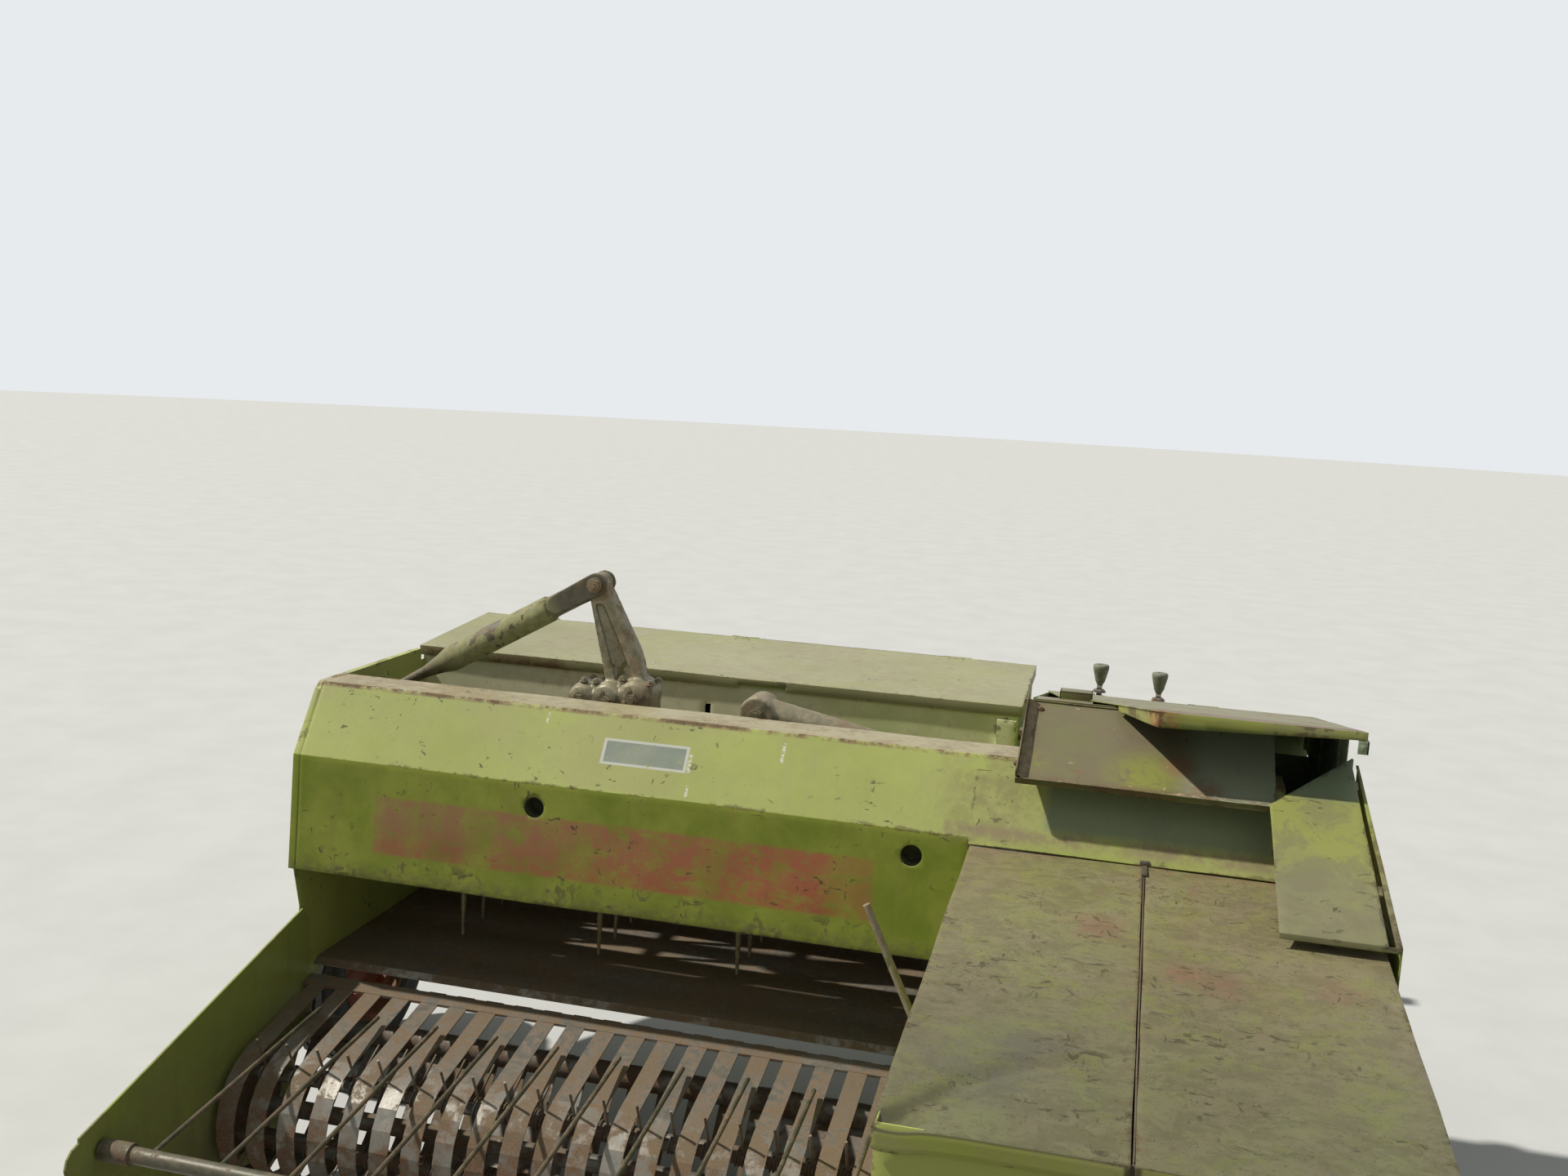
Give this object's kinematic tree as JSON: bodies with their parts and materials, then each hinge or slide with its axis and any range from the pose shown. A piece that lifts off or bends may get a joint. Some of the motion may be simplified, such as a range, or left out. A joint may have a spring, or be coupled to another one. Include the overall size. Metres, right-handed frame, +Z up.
{
  "type": "small square baler",
  "caption": "Trailed small square baler: side pickup and hooded cross feeder, bale chamber with plunger, knotters, flywheel, drawbar and jack.",
  "frame": {"origin": "ground level under the middle of the whole machine's box", "axes": "+Y to the rear, opposite to the direction of travel; +X to the machine's left, the side of the bale chamber; +Z up"},
  "size_m": [2.66, 5.1813, 1.4728],
  "materials": {
    "green_paint": "weathered",
    "faded_paint": "dusty",
    "wheel_paint": "weathered",
    "cast_metal": "rusty",
    "worn_steel": "worn",
    "crank_metal": "worn",
    "tyre_rubber": "dusty",
    "wheel_rubber": "dusty"
  },
  "bodies": {
    "baler": {"chamber_side_outer": "green_paint", "chamber_side_inner": "green_paint", "chamber_floor": "worn_steel", "chamber_roof": "green_paint", "main_frame": "green_paint", "axle": "green_paint", "gearbox": "green_paint", "crank_and_rod": "cast_metal", "plunger": "worn_steel", "cover_outer": "faded_paint", "cover_inner": "faded_paint", "housing_walls": "green_paint", "hood_front": "green_paint", "hood_end": "green_paint", "feed_floor": "worn_steel", "feed_deck": "green_paint", "twine_box": "green_paint", "feeder_beam": "cast_metal", "feeder_arm": "cast_metal", "guide_link": "green_paint", "feeder_rod": "cast_metal", "feeder_drive": "cast_metal", "knotter_tray": "faded_paint", "knotter_hood": "green_paint", "knotters": "cast_metal", "needle_yoke": "cast_metal", "drive_shield": "green_paint", "side_drive": "cast_metal", "tension_bridge": "green_paint", "tension_rails": "green_paint", "tension_cranks": "crank_metal", "pickup_lever": "worn_steel"},
    "wheel_inner": {"tyre_inner": "tyre_rubber", "rim_inner": "wheel_paint"},
    "wheel_outer": {"tyre_outer": "tyre_rubber", "rim_outer": "wheel_paint"},
    "flywheel_body": {"flywheel": "cast_metal"},
    "pickup": {"pickup_plates": "green_paint", "pickup_bands": "worn_steel"},
    "pickup_reel": {"reel": "worn_steel"},
    "gauge": {"gauge_wheel": "wheel_rubber"},
    "guard": {"crop_guard": "worn_steel"},
    "drawbar_beam": {"drawbar": "green_paint"},
    "jack": {"jack_leg": "worn_steel"},
    "bale_chute": {"chute": "green_paint"},
    "twine_box_lid": {"twine_lid": "faded_paint"},
    "knotter_cover": {"knotter_lid": "faded_paint"},
    "bale_meter": {"star_wheel": "worn_steel"}
  },
  "joints": [
    {"name": "wheel_inner_spin", "type": "hinge", "parent": "baler", "child": "wheel_inner", "pos_m": [1.225, 0.41129, 0.345], "axis": [1, 0, 0], "continuous": true},
    {"name": "wheel_outer_spin", "type": "hinge", "parent": "baler", "child": "wheel_outer", "pos_m": [-1.255, 0.41129, 0.3], "axis": [1, 0, 0], "continuous": true},
    {"name": "flywheel_spin", "type": "hinge", "parent": "baler", "child": "flywheel_body", "pos_m": [0.803, -1.34871, 0.54], "axis": [0, 1, 0], "continuous": true},
    {"name": "pickup_lift", "type": "hinge", "parent": "baler", "child": "pickup", "pos_m": [-0.31525, -0.11871, 0.43], "axis": [-1, 0, 0], "range_deg": [0, 12]},
    {"name": "reel_spin", "type": "hinge", "parent": "pickup", "child": "pickup_reel", "pos_m": [-0.31525, -0.37871, 0.25], "axis": [1, 0, 0], "continuous": true},
    {"name": "gauge_spin", "type": "hinge", "parent": "pickup", "child": "gauge", "pos_m": [-1.189, -0.46371, 0.145], "axis": [1, 0, 0], "continuous": true},
    {"name": "guard_lift", "type": "hinge", "parent": "pickup", "child": "guard", "pos_m": [-0.31525, -0.87871, 0.385], "axis": [1, 0, 0], "range_deg": [0, 60]},
    {"name": "drawbar_swing", "type": "hinge", "parent": "baler", "child": "drawbar_beam", "pos_m": [0.44, -1.35871, 0.42], "axis": [0, 0, 1], "range_deg": [-35, 0]},
    {"name": "jack_slide", "type": "slide", "parent": "drawbar_beam", "child": "jack", "axis": [0, 0, 1], "range_m": [0, 0.25]},
    {"name": "chute_fold", "type": "hinge", "parent": "baler", "child": "bale_chute", "pos_m": [0.803, 1.96929, 0.456], "axis": [1, 0, 0], "range_deg": [0, 95]},
    {"name": "twine_lid_open", "type": "hinge", "parent": "baler", "child": "twine_box_lid", "pos_m": [-0.31, 0.93829, 1.208], "axis": [-1, 0, 0], "range_deg": [0, 100]},
    {"name": "knotter_lid_open", "type": "hinge", "parent": "baler", "child": "knotter_cover", "pos_m": [0.803, 0.80129, 1.16474], "axis": [-1, 0, 0], "range_deg": [0, 95]},
    {"name": "star_wheel_spin", "type": "hinge", "parent": "baler", "child": "bale_meter", "pos_m": [0.803, 1.02729, 0.948], "axis": [1, 0, 0], "continuous": true}
  ]
}
